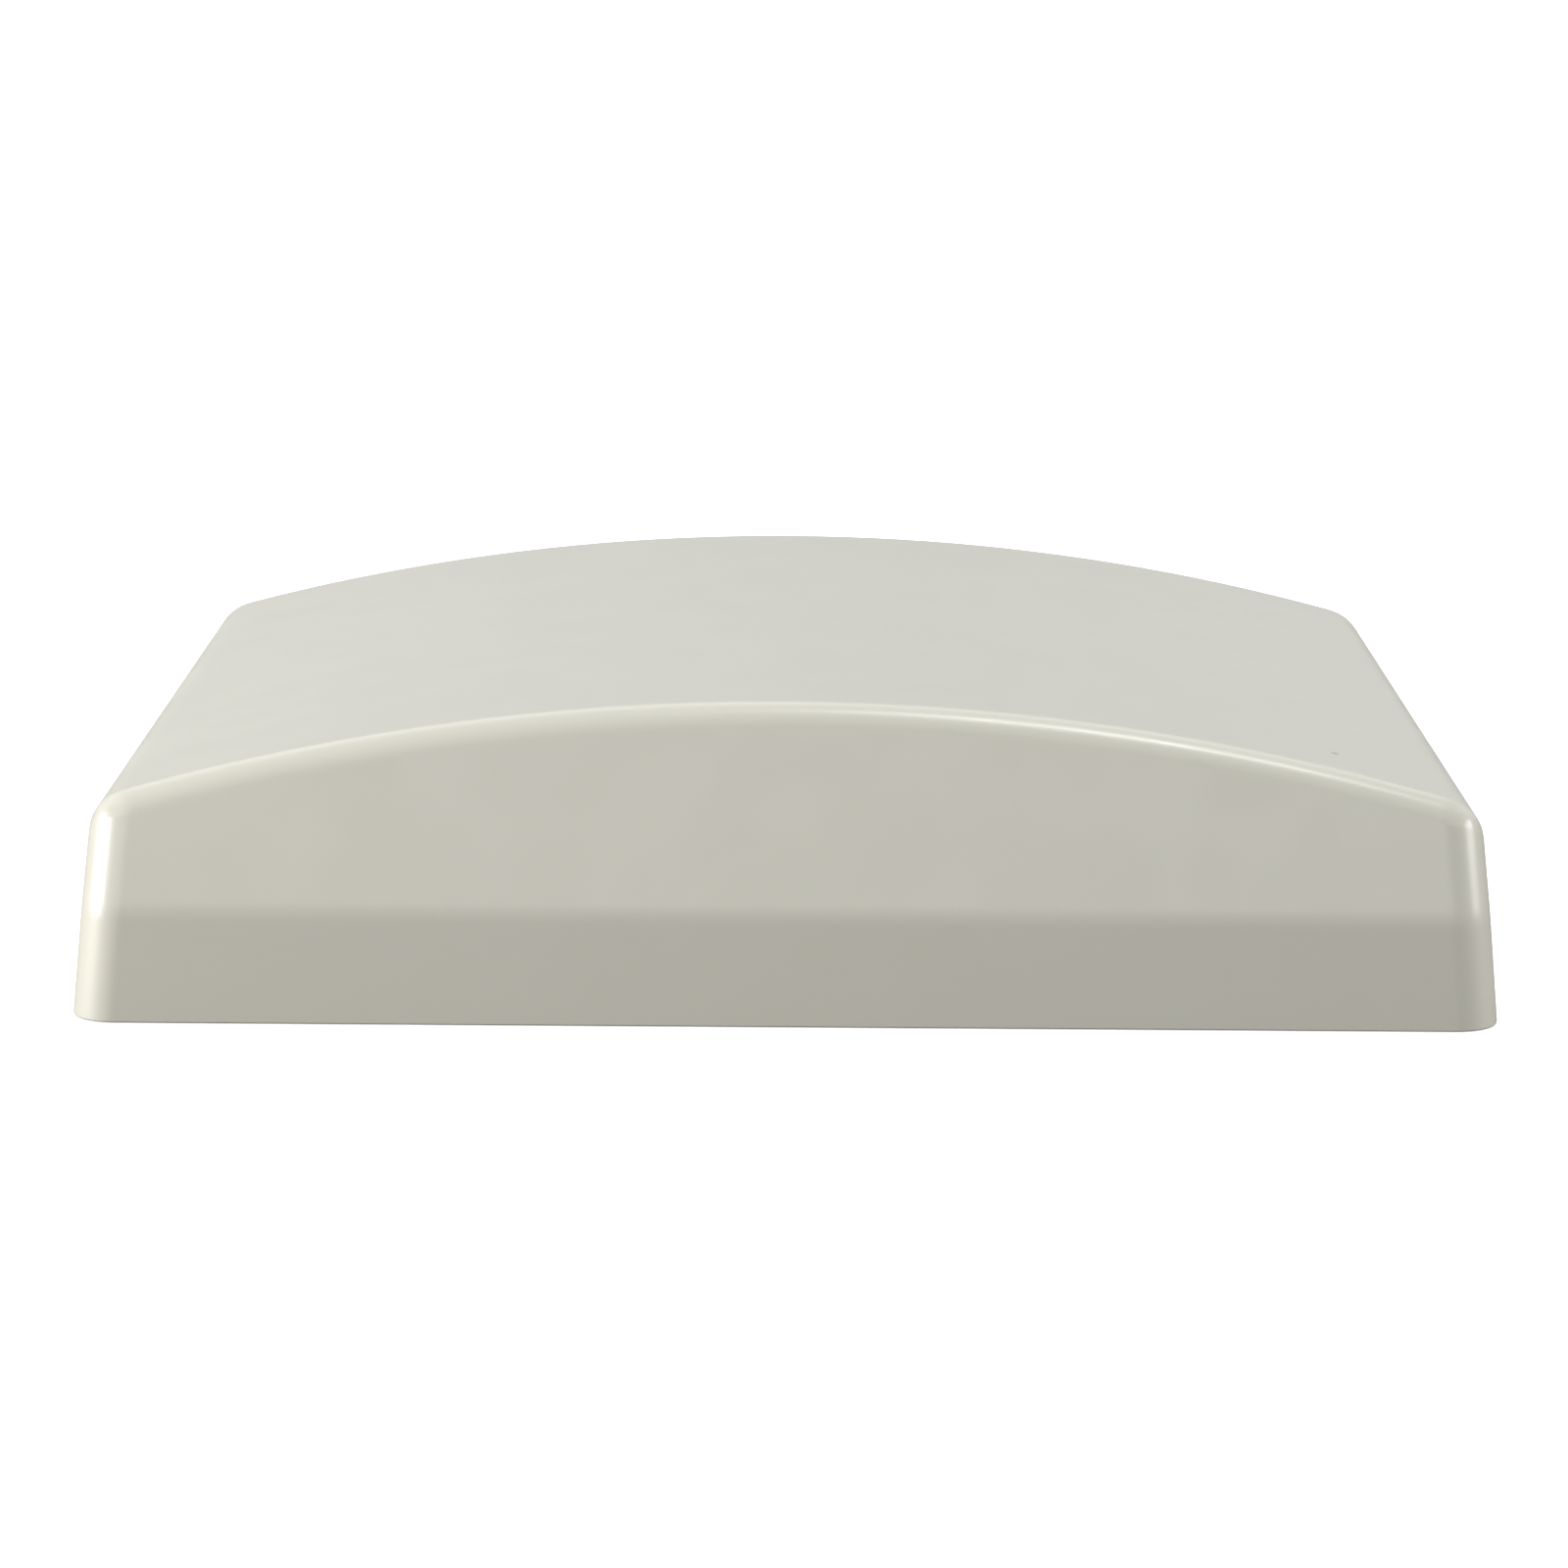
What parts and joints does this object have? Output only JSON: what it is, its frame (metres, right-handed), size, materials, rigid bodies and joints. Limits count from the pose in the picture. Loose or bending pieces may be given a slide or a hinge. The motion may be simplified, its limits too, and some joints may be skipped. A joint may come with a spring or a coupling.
{
  "type": "panel antenna",
  "caption": "Flat directional panel antenna: off-white arched radome on a flush flat back plate, stacked reflector, driven plate and director inside, capped N jack on one end.",
  "frame": {"origin": "centre of the flat back face, on the back plate", "axes": "+Z out of the arched face, along the beam; +X across the arch; +Y along the arch, towards the jack"},
  "size_m": [0.21, 0.2, 0.0466],
  "materials": {
    "housing_plastic": "semi-gloss warm off-white moulded ASA",
    "silicone": "matt grey silicone",
    "stainless": "plain stainless",
    "brass": "bare brass",
    "gold_plate": "thin gold plate",
    "nickel_plate": "bright nickel plate",
    "aluminium": "mill finish sheet",
    "nylon": "natural nylon",
    "ptfe": "natural PTFE",
    "coax_jacket": "brown FEP jacket",
    "vent_plastic": "black moulded",
    "label_film": "satin silver polyester film, blank",
    "cap_plastic": "black polyethylene"
  },
  "bodies": {
    "antenna": {"radome": "housing_plastic", "back_plate": "housing_plastic", "rim_gasket": "silicone", "cover_screw_1": "stainless", "cover_screw_2": "stainless", "cover_screw_3": "stainless", "cover_screw_4": "stainless", "cover_screw_5": "stainless", "cover_screw_6": "stainless", "bracket_insert_1": "brass", "bracket_insert_2": "brass", "bracket_insert_3": "brass", "bracket_insert_4": "brass", "vent_plug": "vent_plastic", "rating_label": "label_film", "reflector_tray": "aluminium", "tray_screw_1": "stainless", "tray_screw_2": "stainless", "tray_screw_3": "stainless", "tray_screw_4": "stainless", "driven_element": "brass", "director_element": "aluminium", "lower_spacer_1": "nylon", "lower_spacer_2": "nylon", "lower_spacer_3": "nylon", "lower_spacer_4": "nylon", "upper_spacer_1": "nylon", "upper_spacer_2": "nylon", "upper_spacer_3": "nylon", "upper_spacer_4": "nylon", "element_bolt_1": "nylon", "element_bolt_2": "nylon", "element_bolt_3": "nylon", "element_bolt_4": "nylon", "element_nut_1": "nylon", "element_nut_2": "nylon", "element_nut_3": "nylon", "element_nut_4": "nylon", "coax_jumper": "coax_jacket", "coax_saddle": "brass", "feed_pin": "gold_plate", "jack_body": "nickel_plate", "jack_insulator": "ptfe", "jack_contact": "gold_plate", "jack_seal": "silicone", "jack_washer": "stainless", "jack_nut": "nickel_plate"},
    "cap": {"jack_cap": "cap_plastic"}
  },
  "joints": [
    {"name": "cap_pull", "type": "slide", "parent": "antenna", "child": "cap", "axis": [0, 1, 0], "range_m": [0, 0.03]}
  ]
}
